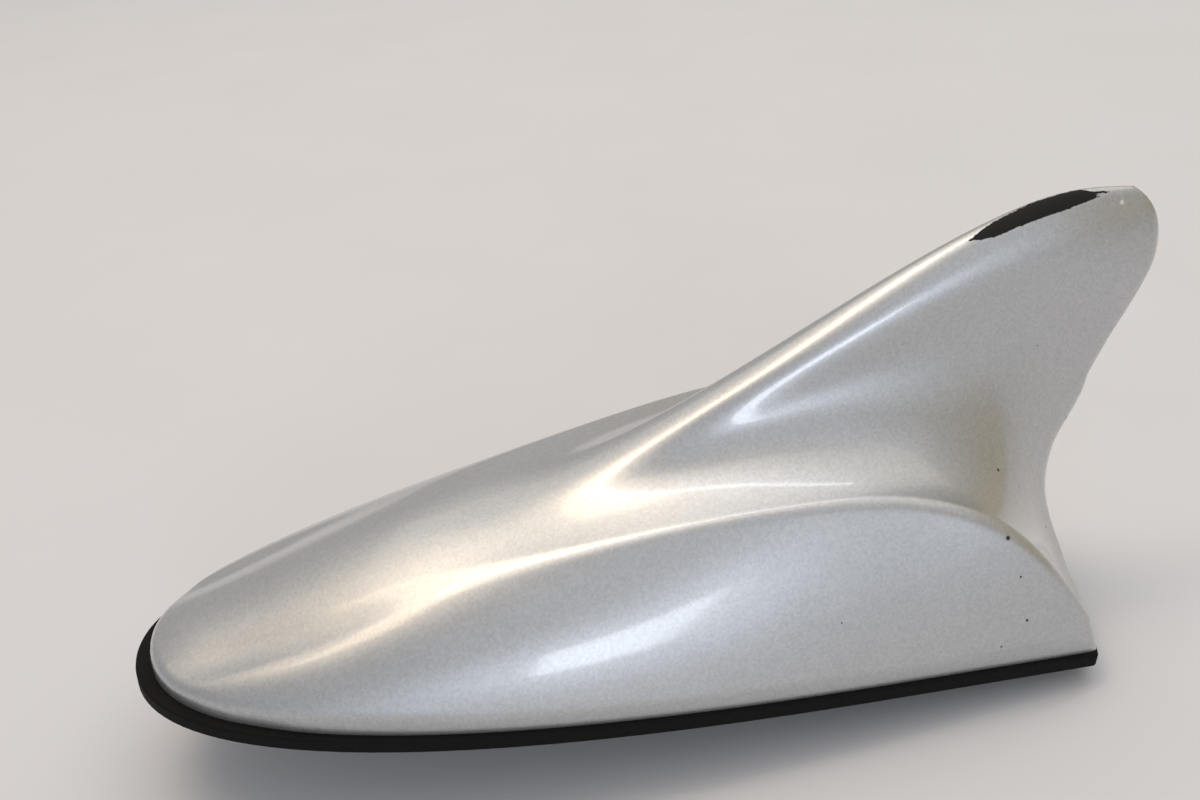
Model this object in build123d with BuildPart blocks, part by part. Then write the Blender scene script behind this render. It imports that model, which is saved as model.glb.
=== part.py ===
"""Shark fin roof aerial: painted cover, rim seal, cast base and the aerial boards inside.

Millimetres. +X runs from the nose to the tail, +Z is up from the roof, and the origin is
the axis of the roof bolt on the plane where the rim seal meets the roof.
"""

import os
from collections import namedtuple
from math import cos, radians, sin, sqrt

from build123d import *

os.makedirs("parts", exist_ok=True)

# Overall form
nose_reach = 84.0
cover_half = 31.8
widest_at = 118.0
nose_bluntness = 30.6
nose_fullness = 77.0
wall = 2.4
boss_skin = 1.0

# Rim seal and its ledge round the cover
seal_height = 2.2
nose_ledge = 2.5
side_ledge = 0.9
tail_ledge = 0.2
seal_strip = 5.0
seal_underlay = 1.0
seal_gap = 0.15
seal_scallop = 0.6
seal_corner = 1.2
seal_edge_round = 0.5
fit_gap = 0.3
corner_radius = 2.5

# Tail: its plan curve and its side profile, measured behind the nose and above the roof
tail_centre = 86.0
tail_turn = 70.0
tail_foot = (157.7, seal_height)
tail_waist = ((154.8, 9.5), (153.3, 18.0), (156.5, 26.0))
trailing_low = (160.1, 36.0)
trailing_high = (166.8, 55.5)
tip_round = ((167.3, 60.0), (165.9, 65.0), (162.0, 68.7))
tip_top = (156.0, 70.2)

# Ribs of the form, from the nose to beyond the tail. Each stands at a distance behind the
# nose and leans back with the fin. Ridge, crease and rim heights are above the roof. The cap,
# flank and root are the fin's half breadths at fixed shares of the height between crease and
# ridge, and the crease and rim breadths are shares of the cover's half breadth. The skirt
# below the crease is an arc that bulges outwards and passes the rim point.
Rib = namedtuple("Rib", "at lean ridge crease_z crease_share cap flank root rim_share rim_z bulge")
ribs = (
    Rib(-3, 0.00, 1.4, 0.9, 0.2830, 2.4, 6.0, 8.0, 0.3774, -0.2, 0.1),
    Rib(5, 0.00, 6.7, 4.8, 0.3019, 2.5, 6.4, 8.6, 0.4088, 3.4, 0.2),
    Rib(13, 0.00, 9.9, 7.1, 0.3428, 2.9, 7.3, 9.7, 0.5283, 5.0, 0.8),
    Rib(26, 0.00, 14.8, 11.5, 0.3899, 3.3, 8.3, 11.1, 0.7201, 5.0, 1.7),
    Rib(45, 0.00, 21.0, 18.4, 0.4277, 3.6, 8.9, 12.0, 0.8585, 5.0, 2.3),
    Rib(62, 0.02, 25.0, 22.9, 0.4937, 3.7, 8.6, 12.6, 0.9308, 5.0, 2.2),
    Rib(78, 0.08, 32.6, 26.4, 0.5660, 2.9, 6.8, 12.0, 0.9717, 5.0, 1.7),
    Rib(96, 0.17, 45.6, 29.4, 0.6415, 3.1, 5.6, 10.6, 0.9969, 5.0, 1.3),
    Rib(113, 0.25, 60.0, 29.2, 0.7201, 3.2, 5.2, 10.2, 1.0031, 5.0, 0.8),
    Rib(127, 0.29, 68.0, 24.4, 0.8459, 3.1, 4.7, 9.8, 1.0094, 4.0, 0.35),
    Rib(138, 0.29, 69.1, 16.3, 0.9340, 2.8, 4.0, 9.0, 1.0157, 3.5, 0.1),
    Rib(147, 0.29, 68.6, 7.6, 0.9780, 2.3, 3.1, 7.6, 1.0160, 3.0, 0.02),
    Rib(158, 0.29, 67.0, 1.2, 1.0380, 1.8, 2.2, 6.4, 1.0700, -0.5, 0.02),
)
rib_shares = (0.93, 0.55, 0.2)
slope_share = 0.8
thinnest_share = 0.3
skirt_run = 1.35
form_depth = 20.0
form_top = 100.0
form_rear = 125.0

# Base plate, threaded bush for the roof bolt, and the foam ring round them
plate_thickness = 3.0
plate_nose_inset = 9.0
plate_rear_inset = 5.0
bolt_radius = 3.0
bolt_depth = 9.4
bush_radius = 8.0
bush_drop = 9.0
bush_chamfer = 0.8
spigot_radius = 4.5
rivet_radius = 6.0
rivet_height = 0.8
roof_foam_strip = 4.0
roof_foam_clear = 3.0
roof_foam_corner = 7.0

# Cover screws, as places behind the nose and distances in from the widest sides
nose_screw_at = 22.0
side_screws_at = ((54.0, 11.2), (96.0, 7.0), (138.0, 7.4))
screw_radius = 1.3
screw_grip = 6.0
screw_head_radius = 2.7
screw_head_height = 1.6
screw_drive = 1.3
screw_drive_depth = 0.9
screw_boss_radius = 3.5
screw_slack = 0.05
screw_hole_slack = 0.3

# Main board
board_front = -44.0
board_rear = 46.0
board_front_inset = 16.8
board_rear_inset = 9.8
board_corner = 3.0
board_thickness = 1.6
standoff_height = 3.0
standoff_radius = 3.0
board_screw_inset = 5.0
board_screw_setback = 4.5
board_screw_radius = 1.1
board_screw_head = 2.2
board_screw_head_height = 1.5
board_screw_drive = 1.1
board_screw_depth = 4.5

# Harness socket under the main board
socket_x = 24.0
socket_length = 26.0
socket_width = 13.0
socket_drop = 6.0
socket_corner = 2.0
socket_flange = 1.5
socket_flange_height = 1.0
socket_pitch = 8.0
well_radius = 3.6
well_depth = 9.0
pin_radius = 0.5
pin_inset = 5.4
pin_slack = 0.1
sleeve_radius = 2.3
sleeve_bore = 1.7
sleeve_inset = 4.6

# Satellite patch
patch_x = -16.0
patch_side = 25.0
patch_height = 4.0
patch_pad_side = 23.0
patch_pad_height = 0.5
electrode_side = 20.0
electrode_height = 0.2
feed_offset = 2.5
feed_radius = 0.5
feed_head_radius = 1.1
feed_head_height = 0.3

# Amplifier can, mobile element and loading coil
can_x = 9.0
can_length = 12.0
can_width = 30.0
can_height = 4.5
can_corner = 1.0
can_sheet = 0.3
element_x = -33.4
element_length = 7.0
element_width = 17.0
element_height = 7.0
element_sheet = 0.4
element_foot = 3.0
coil_x = 31.0
coil_y = 12.5
coil_radius = 4.0
coil_waist = 2.2
coil_flange = 1.0
coil_height = 7.0
winding_radius = 3.6

# Upright fin board, its holder, feed clip and foam pads
fin_board_front = 22.0
fin_board_thickness = 1.0
fin_board_gap = 0.5
holder_front = 23.0
holder_length = 18.0
holder_width = 7.0
holder_height = 8.0
holder_floor = 1.0
holder_corner = 1.5
slot_slack = 0.1
clip_x = 44.0
clip_length = 3.0
clip_sheet = 0.4
clip_height = 4.0
pad_at = 140.0
pad_length = 8.0
pad_low = 50.0
pad_height = 5.0

# Levels and places that follow from the sizes above
nose_x = -nose_reach
widest_x = nose_x + widest_at
tail_x = nose_x + tail_centre
plate_low = seal_underlay
plate_top = plate_low + plate_thickness
board_low = plate_top + standoff_height
board_top = board_low + board_thickness
tail_radius = tail_foot[0] - tail_centre
plate_nose = nose_x + nose_ledge + plate_nose_inset
plate_half = cover_half - wall - fit_gap
plate_rear = tail_radius - plate_rear_inset
head_top = plate_low + screw_head_height
well_floor = well_depth - socket_drop
pad_top = board_top + patch_pad_height
patch_top = pad_top + patch_height
electrode_top = patch_top + electrode_height
slot_floor = board_top + holder_floor
fin_slot = fin_board_thickness + 2 * slot_slack
board_front_half = cover_half - board_front_inset
board_rear_half = cover_half - board_rear_inset
foam_front = -bush_radius - roof_foam_clear
foam_rear = socket_x + socket_length / 2 + roof_foam_clear
foam_middle = ((foam_front + foam_rear) / 2, 0)
foam_opening = (foam_rear - foam_front, 2 * (bush_radius + roof_foam_clear))
pad_middle = (nose_x + pad_at + pad_length / 2, 0)
screw_places = [(nose_x + nose_screw_at, 0)]
screw_places += [
    (nose_x + at, side * (cover_half - inset)) for at, inset in side_screws_at for side in (-1, 1)
]
board_screw_places = [
    (x, side * (half - board_screw_inset))
    for x, half in (
        (board_front + board_screw_setback, board_front_half),
        (board_rear - board_screw_setback, board_rear_half),
    )
    for side in (-1, 1)
]
well_places = [(socket_x + step * socket_pitch, 0) for step in (-1, 0, 1)]
feed_place = (patch_x + feed_offset, 0)


def plan_side(nose, half, side):
    """One bullet-shaped side in plan, from the nose to the widest place."""
    return Bezier((nose, 0), (nose, side * nose_bluntness * half / cover_half),
                  (nose + nose_fullness, side * half), (widest_x, side * half))


def plan_sides(nose, half, rear):
    """Both sides in plan, closed by a straight rear beyond the tail."""
    near = plan_side(nose, half, -1)
    far = plan_side(nose, half, 1)
    Polyline(near @ 1, (rear, -half), (rear, half), far @ 1)


def plan_outline(nose, half, rear_radius):
    """Both sides in plan, closed by an arc about the tail centre."""
    near = plan_side(nose, half, -1)
    far = plan_side(nose, half, 1)
    corner = tail_x + sqrt(rear_radius**2 - half**2)
    Line(near @ 1, (corner, -half))
    ThreePointArc((corner, -half), (tail_x + rear_radius, 0), (corner, half))
    Line((corner, half), far @ 1)


def rib_points(rib, inset):
    """Half of one cross section, from beside the ridge out to the crease, and its ridge."""
    stretch = sqrt(1 + rib.lean**2)
    ridge = rib.ridge - inset
    crease_z = rib.crease_z - slope_share * inset
    breadths = [max(y - inset, thinnest_share * y) for y in (rib.cap, rib.flank, rib.root)]
    heights = [(crease_z + share * (ridge - crease_z)) * stretch for share in rib_shares]
    crease = (rib.crease_share * cover_half - slope_share * inset, crease_z * stretch)
    return [*zip(breadths, heights), crease], (0, ridge * stretch)


def skirt_points(rib, crease, inset):
    """The skirt's parabola past the rim: its middle control point and its lower end."""
    start = Vector(*crease)
    rim = Vector(rib.rim_share * cover_half - inset, rib.rim_z - slope_share * inset)
    chord = rim - start
    outward = Vector(-chord.Y, chord.X).normalized() * 4 * rib.bulge
    middle = start + (chord + outward) * (skirt_run / 2)
    end = start + chord * skirt_run + outward * (skirt_run * (1 - skirt_run))
    return (middle.X, middle.Y), (end.X, end.Y)


def cover_form(inset, low):
    """The cover's outer form, moved inwards by an inset, from a low level upwards."""

    def tail_point(point):
        return (nose_x + point[0] - tail_x - inset, point[1])

    with BuildPart() as form:
        for rib in ribs:
            half, ridge = rib_points(rib, inset)
            other_half = [(-y, z) for y, z in reversed(half)]
            middle, end = skirt_points(rib, half[-1], inset)
            with BuildSketch(Plane((nose_x + rib.at, 0, 0), (0, 1, 0), (1, 0, -rib.lean))):
                with BuildLine():
                    Spline(*other_half, ridge, *half)
                    Bezier(half[-1], middle, end)
                    Polyline(end, (end[0], -form_depth), (-end[0], -form_depth), (-end[0], end[1]))
                    Bezier((-end[0], end[1]), (-middle[0], middle[1]), other_half[0])
                make_face()
        loft()
        with BuildSketch(Plane.XY.offset(low)):
            with BuildLine():
                plan_sides(nose_x + nose_ledge + inset, cover_half - inset, form_rear)
            make_face()
        extrude(amount=form_top, mode=Mode.INTERSECT)
        turn = radians(tail_turn)
        tail_plane = Plane((tail_x, 0, 0), (cos(turn), -sin(turn), 0), (-sin(turn), -cos(turn), 0))
        with BuildSketch(tail_plane):
            with BuildLine():
                waist = Spline(*[tail_point(p) for p in (tail_foot, *tail_waist, trailing_low)])
                edge = Line(waist @ 1, tail_point(trailing_high))
                top = (tail_point(tip_top)[0], tip_top[1] - inset)
                tip = Spline(edge @ 1, *[tail_point(p) for p in tip_round[:-1]],
                             (tail_point(tip_round[-1])[0], tip_round[-1][1] - inset), top)
                Polyline(tip @ 1, (top[0], form_top), (form_rear, form_top),
                         (form_rear, -form_depth), (tail_point(tail_foot)[0], -form_depth), waist @ 0)
            make_face()
        revolve(axis=Axis((tail_x, 0, 0), (0, 0, 1)), revolution_arc=2 * tail_turn,
                mode=Mode.SUBTRACT)
    return form.part


def save(piece, label):
    """Name a finished piece and write it to its own file."""
    piece.part.label = label
    export_step(piece.part, f"parts/{label}.step")


# Painted cover: a hollow moulding with screw bosses that hang from its inside
cavity = cover_form(wall, -form_depth / 2)
boss_limit = cover_form(boss_skin, plate_top)
with BuildPart() as screw_bosses:
    with BuildSketch(Plane.XY.offset(plate_top)):
        with Locations(*screw_places):
            Circle(screw_boss_radius)
    extrude(amount=form_top)
    add(boss_limit, mode=Mode.INTERSECT)
with BuildPart() as fin_cover:
    add(cover_form(0, seal_height))
    add(cavity, mode=Mode.SUBTRACT)
    add(screw_bosses.part)
    with BuildSketch(Plane.XY.offset(plate_top)):
        with Locations(*screw_places):
            Circle(screw_radius + screw_slack)
    extrude(amount=screw_grip + fit_gap, mode=Mode.SUBTRACT)
save(fin_cover, "fin_cover")

# Rim seal: a ledge that carries the cover's rim and a strip that runs in under the plate
with BuildPart() as rim_seal:
    with BuildSketch() as seal_plan:
        with BuildLine():
            plan_outline(nose_x, cover_half + side_ledge, tail_radius + tail_ledge)
        make_face()
        fillet(seal_plan.vertices().sort_by(Axis.X)[-2:], seal_corner)
    extrude(amount=seal_height)
    fillet(edges().group_by(Axis.Z)[-1], radius=seal_edge_round)
    with BuildSketch(Plane.XY.offset(plate_low)) as seat_plan:
        with BuildLine():
            plan_outline(plate_nose - seal_gap, plate_half + seal_gap, plate_rear + seal_gap)
        make_face()
        fillet(seat_plan.vertices().sort_by(Axis.X)[-2:], corner_radius)
    extrude(amount=seal_height, mode=Mode.SUBTRACT)
    with BuildSketch() as opening_plan:
        with BuildLine():
            plan_outline(plate_nose + seal_strip, plate_half - seal_strip, plate_rear - seal_strip)
        make_face()
        fillet(opening_plan.vertices().sort_by(Axis.X)[-2:], corner_radius)
        with Locations(*screw_places):
            Circle(screw_head_radius + seal_scallop)
    extrude(amount=seal_height, mode=Mode.SUBTRACT)
save(rim_seal, "rim_seal")

# Cast base plate with the board standoffs, screw holes, bush hole and socket opening
with BuildPart() as base_plate:
    with BuildSketch(Plane.XY.offset(plate_low)) as plate_plan:
        with BuildLine():
            plan_outline(plate_nose, plate_half, plate_rear)
        make_face()
        fillet(plate_plan.vertices().sort_by(Axis.X)[-2:], corner_radius)
    extrude(amount=plate_thickness)
    with BuildSketch(Plane.XY.offset(plate_top)):
        with Locations(*board_screw_places):
            Circle(standoff_radius)
    extrude(amount=standoff_height)
    with BuildSketch(Plane.XY.offset(board_low)):
        with Locations(*board_screw_places):
            Circle(board_screw_radius + screw_slack)
    extrude(amount=-board_screw_depth - fit_gap, mode=Mode.SUBTRACT)
    with BuildSketch(Plane.XY.offset(plate_low)):
        Circle(spigot_radius)
        with Locations(*screw_places):
            Circle(screw_radius + screw_hole_slack)
        with Locations((socket_x, 0)):
            RectangleRounded(socket_length + 2 * fit_gap, socket_width + 2 * fit_gap, socket_corner)
    extrude(amount=plate_thickness, mode=Mode.SUBTRACT)
    with BuildSketch(Plane.XY.offset(plate_low)):
        with Locations(*screw_places):
            Circle(screw_head_radius + fit_gap)
    extrude(amount=screw_head_height, mode=Mode.SUBTRACT)
save(base_plate, "base_plate")

# Threaded bush for the roof bolt, riveted over the plate by its spigot
with BuildPart() as bolt_bush:
    with BuildSketch(Plane.XY.offset(-bush_drop)):
        Circle(bush_radius)
    extrude(amount=bush_drop + plate_low)
    chamfer(bolt_bush.edges().sort_by(Axis.Z)[0], bush_chamfer)
    with BuildSketch(Plane.XY.offset(plate_low)):
        Circle(spigot_radius)
    extrude(amount=plate_thickness)
    with BuildSketch(Plane.XY.offset(plate_top)):
        Circle(rivet_radius)
    extrude(amount=rivet_height)
    with BuildSketch(Plane.XY.offset(-bush_drop)):
        Circle(bolt_radius)
    extrude(amount=bolt_depth, mode=Mode.SUBTRACT)
save(bolt_bush, "bolt_bush")

# Screws that hold the cover to the base plate from below
with BuildPart() as cover_screws:
    with BuildSketch(Plane.XY.offset(plate_low)):
        with Locations(*screw_places):
            Circle(screw_head_radius)
    extrude(amount=screw_head_height)
    with BuildSketch(Plane.XY.offset(head_top)):
        with Locations(*screw_places):
            Circle(screw_radius)
    extrude(amount=plate_top + screw_grip - head_top)
    with BuildSketch(Plane.XY.offset(plate_low)):
        with Locations(*screw_places):
            RegularPolygon(screw_drive, 6)
    extrude(amount=screw_drive_depth, mode=Mode.SUBTRACT)
save(cover_screws, "cover_screws")

# Foam ring that seals the roof hole round the bush and the socket
with BuildPart() as roof_foam:
    with BuildSketch():
        with Locations(foam_middle):
            RectangleRounded(foam_opening[0] + 2 * roof_foam_strip,
                             foam_opening[1] + 2 * roof_foam_strip, roof_foam_corner)
            RectangleRounded(*foam_opening, roof_foam_corner - roof_foam_strip, mode=Mode.SUBTRACT)
    extrude(amount=plate_low)
save(roof_foam, "roof_foam")

# Main circuit board on the standoffs
with BuildPart() as main_board:
    with BuildSketch(Plane.XY.offset(board_low)) as board_plan:
        with BuildLine():
            Polyline((board_front, -board_front_half), (board_rear, -board_rear_half),
                     (board_rear, board_rear_half), (board_front, board_front_half), close=True)
        make_face()
        fillet(board_plan.vertices(), board_corner)
        with Locations(*board_screw_places):
            Circle(board_screw_radius + screw_hole_slack, mode=Mode.SUBTRACT)
        with Locations(*well_places):
            Circle(pin_radius + pin_slack, mode=Mode.SUBTRACT)
        with Locations(feed_place):
            Circle(feed_radius + pin_slack, mode=Mode.SUBTRACT)
    extrude(amount=board_thickness)
save(main_board, "main_board")

# Screws that hold the board to the standoffs
with BuildPart() as board_screws:
    with BuildSketch(Plane.XY.offset(board_top)):
        with Locations(*board_screw_places):
            Circle(board_screw_head)
    extrude(amount=board_screw_head_height)
    with BuildSketch(Plane.XY.offset(board_top)):
        with Locations(*board_screw_places):
            Circle(board_screw_radius)
    extrude(amount=-board_thickness - board_screw_depth)
    with BuildSketch(Plane.XY.offset(board_top + board_screw_head_height)):
        with Locations(*board_screw_places):
            RegularPolygon(board_screw_drive, 6)
    extrude(amount=-screw_drive_depth, mode=Mode.SUBTRACT)
save(board_screws, "board_screws")

# Harness socket that hangs from the board through the plate, with a well for each lead
with BuildPart() as harness_socket:
    with BuildSketch(Plane.XY.offset(-socket_drop)):
        with Locations((socket_x, 0)):
            RectangleRounded(socket_length, socket_width, socket_corner)
    extrude(amount=socket_drop + board_low)
    with BuildSketch(Plane.XY.offset(plate_top)):
        with Locations((socket_x, 0)):
            RectangleRounded(socket_length + 2 * socket_flange, socket_width + 2 * socket_flange,
                             socket_corner + socket_flange)
    extrude(amount=socket_flange_height)
    with BuildSketch(Plane.XY.offset(-socket_drop)):
        with Locations(*well_places):
            Circle(well_radius)
    extrude(amount=well_depth, mode=Mode.SUBTRACT)
    with BuildSketch(Plane.XY.offset(well_floor)):
        with Locations(*well_places):
            Circle(pin_radius)
    extrude(amount=board_low - well_floor, mode=Mode.SUBTRACT)
save(harness_socket, "harness_socket")

# Centre pins of the leads, pressed into the socket and soldered flush in the board
with BuildPart() as coax_pins:
    with BuildSketch(Plane.XY.offset(-socket_drop + pin_inset)):
        with Locations(*well_places):
            Circle(pin_radius)
    extrude(amount=board_top + socket_drop - pin_inset)
save(coax_pins, "coax_pins")

# Outer contact sleeves round the pins, standing on the floors of the wells
with BuildPart() as coax_sleeves:
    with BuildSketch(Plane.XY.offset(-socket_drop + sleeve_inset)):
        with Locations(*well_places):
            Circle(sleeve_radius)
            Circle(sleeve_bore, mode=Mode.SUBTRACT)
    extrude(amount=well_depth - sleeve_inset)
save(coax_sleeves, "coax_sleeves")

# Satellite patch: adhesive pad, ceramic block, silvered electrode and feed pin
with BuildPart() as patch_pad:
    with BuildSketch(Plane.XY.offset(board_top)):
        with Locations((patch_x, 0)):
            Rectangle(patch_pad_side, patch_pad_side)
        with Locations(feed_place):
            Circle(feed_radius + pin_slack, mode=Mode.SUBTRACT)
    extrude(amount=patch_pad_height)
save(patch_pad, "patch_pad")
with BuildPart() as satellite_patch:
    with BuildSketch(Plane.XY.offset(pad_top)):
        with Locations((patch_x, 0)):
            Rectangle(patch_side, patch_side)
        with Locations(feed_place):
            Circle(feed_radius + pin_slack, mode=Mode.SUBTRACT)
    extrude(amount=patch_height)
save(satellite_patch, "satellite_patch")
with BuildPart() as patch_electrode:
    with BuildSketch(Plane.XY.offset(patch_top)):
        with Locations((patch_x, 0)):
            Rectangle(electrode_side, electrode_side)
        with Locations(feed_place):
            Circle(feed_radius, mode=Mode.SUBTRACT)
    extrude(amount=electrode_height)
save(patch_electrode, "patch_electrode")
with BuildPart() as patch_pin:
    with BuildSketch(Plane.XY.offset(board_low)):
        with Locations(feed_place):
            Circle(feed_radius)
    extrude(amount=electrode_top - board_low)
    with BuildSketch(Plane.XY.offset(electrode_top)):
        with Locations(feed_place):
            Circle(feed_head_radius)
    extrude(amount=feed_head_height)
save(patch_pin, "patch_pin")

# Folded sheet can over the amplifier
with BuildPart() as amplifier_can:
    with BuildSketch(Plane.XY.offset(board_top)):
        with Locations((can_x, 0)):
            RectangleRounded(can_length, can_width, can_corner)
    extrude(amount=can_height)
    with BuildSketch(Plane.XY.offset(board_top)):
        with Locations((can_x, 0)):
            RectangleRounded(can_length - 2 * can_sheet, can_width - 2 * can_sheet,
                             can_corner - can_sheet)
    extrude(amount=can_height - can_sheet, mode=Mode.SUBTRACT)
save(amplifier_can, "amplifier_can")

# Folded sheet element for the mobile band, on two feet
with BuildPart() as mobile_element:
    leg = element_width / 2
    reach = leg + element_foot
    inner = leg - element_sheet
    top = element_height - element_sheet
    with BuildSketch(Plane((element_x - element_length / 2, 0, board_top), (0, 1, 0), (1, 0, 0))):
        with BuildLine():
            Polyline((reach, 0), (reach, element_sheet), (leg, element_sheet),
                     (leg, element_height), (-leg, element_height), (-leg, element_sheet),
                     (-reach, element_sheet), (-reach, 0), (-inner, 0), (-inner, top),
                     (inner, top), (inner, 0), close=True)
        make_face()
    extrude(amount=element_length)
save(mobile_element, "mobile_element")

# Loading coil: ferrite bobbin and its copper winding
with BuildPart() as coil_core:
    with BuildSketch(Plane.XY.offset(board_top)):
        with Locations((coil_x, coil_y)):
            Circle(coil_radius)
    extrude(amount=coil_height)
    with BuildSketch(Plane.XY.offset(board_top + coil_flange)):
        with Locations((coil_x, coil_y)):
            Circle(coil_radius)
            Circle(coil_waist, mode=Mode.SUBTRACT)
    extrude(amount=coil_height - 2 * coil_flange, mode=Mode.SUBTRACT)
save(coil_core, "coil_core")
with BuildPart() as coil_winding:
    with BuildSketch(Plane.XY.offset(board_top + coil_flange)):
        with Locations((coil_x, coil_y)):
            Circle(winding_radius)
            Circle(coil_waist, mode=Mode.SUBTRACT)
    extrude(amount=coil_height - 2 * coil_flange)
save(coil_winding, "coil_winding")

# Upright fin board, cut to the inside of the fin
with BuildPart() as fin_board:
    with BuildSketch(Plane.XY.offset(slot_floor)):
        with Locations(((fin_board_front + form_rear) / 2, 0)):
            Rectangle(form_rear - fin_board_front, fin_board_thickness)
    extrude(amount=form_top)
    add(cover_form(wall + fin_board_gap, 0), mode=Mode.INTERSECT)
save(fin_board, "fin_board")

# Slotted holder that stands the fin board on the main board
with BuildPart() as fin_board_holder:
    with BuildSketch(Plane.XY.offset(board_top)):
        with Locations((holder_front + holder_length / 2, 0)):
            RectangleRounded(holder_length, holder_width, holder_corner)
    extrude(amount=holder_height)
    with BuildSketch(Plane.XY.offset(slot_floor)):
        with Locations((holder_front + holder_length / 2, 0)):
            Rectangle(holder_length, fin_slot)
    extrude(amount=holder_height, mode=Mode.SUBTRACT)
save(fin_board_holder, "fin_board_holder")

# Foam pads that steady the fin board between the walls of the fin
with BuildPart() as fin_board_pads:
    with BuildSketch(Plane.XY.offset(pad_low)):
        with Locations(pad_middle):
            Rectangle(pad_length, 2 * cover_half)
            Rectangle(pad_length, fin_board_thickness, mode=Mode.SUBTRACT)
    extrude(amount=pad_height)
    add(cavity, mode=Mode.INTERSECT)
save(fin_board_pads, "fin_board_pads")

# Spring clip that feeds the fin board from the main board
with BuildPart() as feed_clip:
    with BuildSketch(Plane.XY.offset(board_top)):
        with Locations((clip_x, 0)):
            Rectangle(clip_length, fin_board_thickness + 2 * clip_sheet)
    extrude(amount=clip_height)
    with BuildSketch(Plane.XY.offset(board_top + clip_sheet)):
        with Locations((clip_x, 0)):
            Rectangle(clip_length, fin_board_thickness)
    extrude(amount=clip_height, mode=Mode.SUBTRACT)
save(feed_clip, "feed_clip")
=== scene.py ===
"""Shark fin roof aerial: painted cover, rubber rim seal and the parts under it, dressed for the render."""
from collections import namedtuple
from math import pi, sqrt

import bpy
import numpy as np
from mathutils import Matrix, Vector


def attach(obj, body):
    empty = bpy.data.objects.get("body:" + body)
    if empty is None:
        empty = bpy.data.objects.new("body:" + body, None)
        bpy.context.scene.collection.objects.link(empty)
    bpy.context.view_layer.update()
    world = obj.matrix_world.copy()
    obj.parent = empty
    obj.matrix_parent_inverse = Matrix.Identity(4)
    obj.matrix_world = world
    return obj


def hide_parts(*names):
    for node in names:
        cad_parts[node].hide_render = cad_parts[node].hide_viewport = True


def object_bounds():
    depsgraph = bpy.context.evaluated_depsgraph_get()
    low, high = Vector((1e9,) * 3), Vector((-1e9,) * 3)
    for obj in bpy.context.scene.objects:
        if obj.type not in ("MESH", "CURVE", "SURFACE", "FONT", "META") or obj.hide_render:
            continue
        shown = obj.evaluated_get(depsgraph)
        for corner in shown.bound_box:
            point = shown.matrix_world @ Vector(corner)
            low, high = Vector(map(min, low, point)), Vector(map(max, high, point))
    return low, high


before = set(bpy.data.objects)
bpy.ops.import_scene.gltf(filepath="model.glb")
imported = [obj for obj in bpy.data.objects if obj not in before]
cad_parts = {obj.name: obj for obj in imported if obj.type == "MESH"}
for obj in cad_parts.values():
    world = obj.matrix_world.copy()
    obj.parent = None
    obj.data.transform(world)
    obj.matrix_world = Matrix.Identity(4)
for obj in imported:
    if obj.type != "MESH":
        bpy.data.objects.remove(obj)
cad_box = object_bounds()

MM = 0.001

# Form of the cover, in millimetres behind the nose of the seal, from the same values as the solid
nose_reach = 84.0
cover_half = 31.8
widest_at = 118.0
nose_bluntness = 30.6
nose_fullness = 77.0
nose_ledge = 2.5
rim_low = 2.2
tail_centre = 86.0
tail_foot = (157.7, rim_low)
tail_waist = ((154.8, 9.5), (153.3, 18.0), (156.5, 26.0))
trailing_low = (160.1, 36.0)
trailing_high = (166.8, 55.5)
tip_round = ((167.3, 60.0), (165.9, 65.0), (162.0, 68.7))
tip_top = (156.0, 70.2)
cap_share, flank_share, root_share = 0.93, 0.55, 0.2
skirt_run = 1.35

# Cross ribs of the cover from nose to tail; soft is how far the shoulder crease is rounded
Rib = namedtuple("Rib", "at lean ridge crease_z crease_share cap flank root rim_share rim_z bulge soft")
ribs = (
    Rib(-3, 0.00, 1.4, 0.9, 0.2830, 2.4, 6.0, 8.0, 0.3774, -0.2, 0.1, 2.0),
    Rib(5, 0.00, 6.7, 4.8, 0.3019, 2.5, 6.4, 8.6, 0.4088, 3.4, 0.2, 2.2),
    Rib(13, 0.00, 9.9, 7.1, 0.3428, 2.9, 7.3, 9.7, 0.5283, 5.0, 0.8, 2.6),
    Rib(26, 0.00, 14.8, 11.5, 0.3899, 3.3, 8.3, 11.1, 0.7201, 5.0, 1.7, 2.8),
    Rib(45, 0.00, 21.0, 18.4, 0.4277, 3.6, 8.9, 12.0, 0.8585, 5.0, 2.3, 2.4),
    Rib(62, 0.02, 25.0, 22.9, 0.4937, 3.7, 8.6, 12.6, 0.9308, 5.0, 2.2, 1.8),
    Rib(78, 0.08, 32.6, 26.4, 0.5660, 2.9, 6.8, 12.0, 0.9717, 5.0, 1.7, 1.4),
    Rib(96, 0.17, 45.6, 29.4, 0.6415, 3.1, 5.6, 10.6, 0.9969, 5.0, 1.3, 1.4),
    Rib(113, 0.25, 60.0, 29.2, 0.7201, 3.2, 5.2, 10.2, 1.0031, 5.0, 0.8, 1.8),
    Rib(127, 0.29, 68.0, 24.4, 0.8459, 3.1, 4.7, 9.8, 1.0094, 4.0, 0.35, 2.4),
    Rib(138, 0.29, 69.1, 16.3, 0.9340, 2.8, 4.0, 9.0, 1.0157, 3.5, 0.1, 2.2),
    Rib(147, 0.29, 68.6, 7.6, 0.9780, 2.3, 3.1, 7.6, 1.0160, 3.0, 0.02, 1.2),
    Rib(158, 0.29, 67.0, 1.2, 1.0380, 1.8, 2.2, 6.4, 1.0700, -0.5, 0.02, 1.0),
)

# Samples of the curves that the mesh is then spaced along
curve_samples = 400
plan_samples = 2001
tail_samples = 200
rim_samples = 2000
form_places = 1611

# Mesh counts over half a rib, along the cover and across its tail
top_steps = 60
round_steps = 10
skirt_steps = 40
crease_column = top_steps + round_steps
skirt_columns = 26
roll_columns = 6
band_columns = 3
rows = 150
across = 30
row_shares = np.linspace(0, 1, rows + 1)

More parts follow.
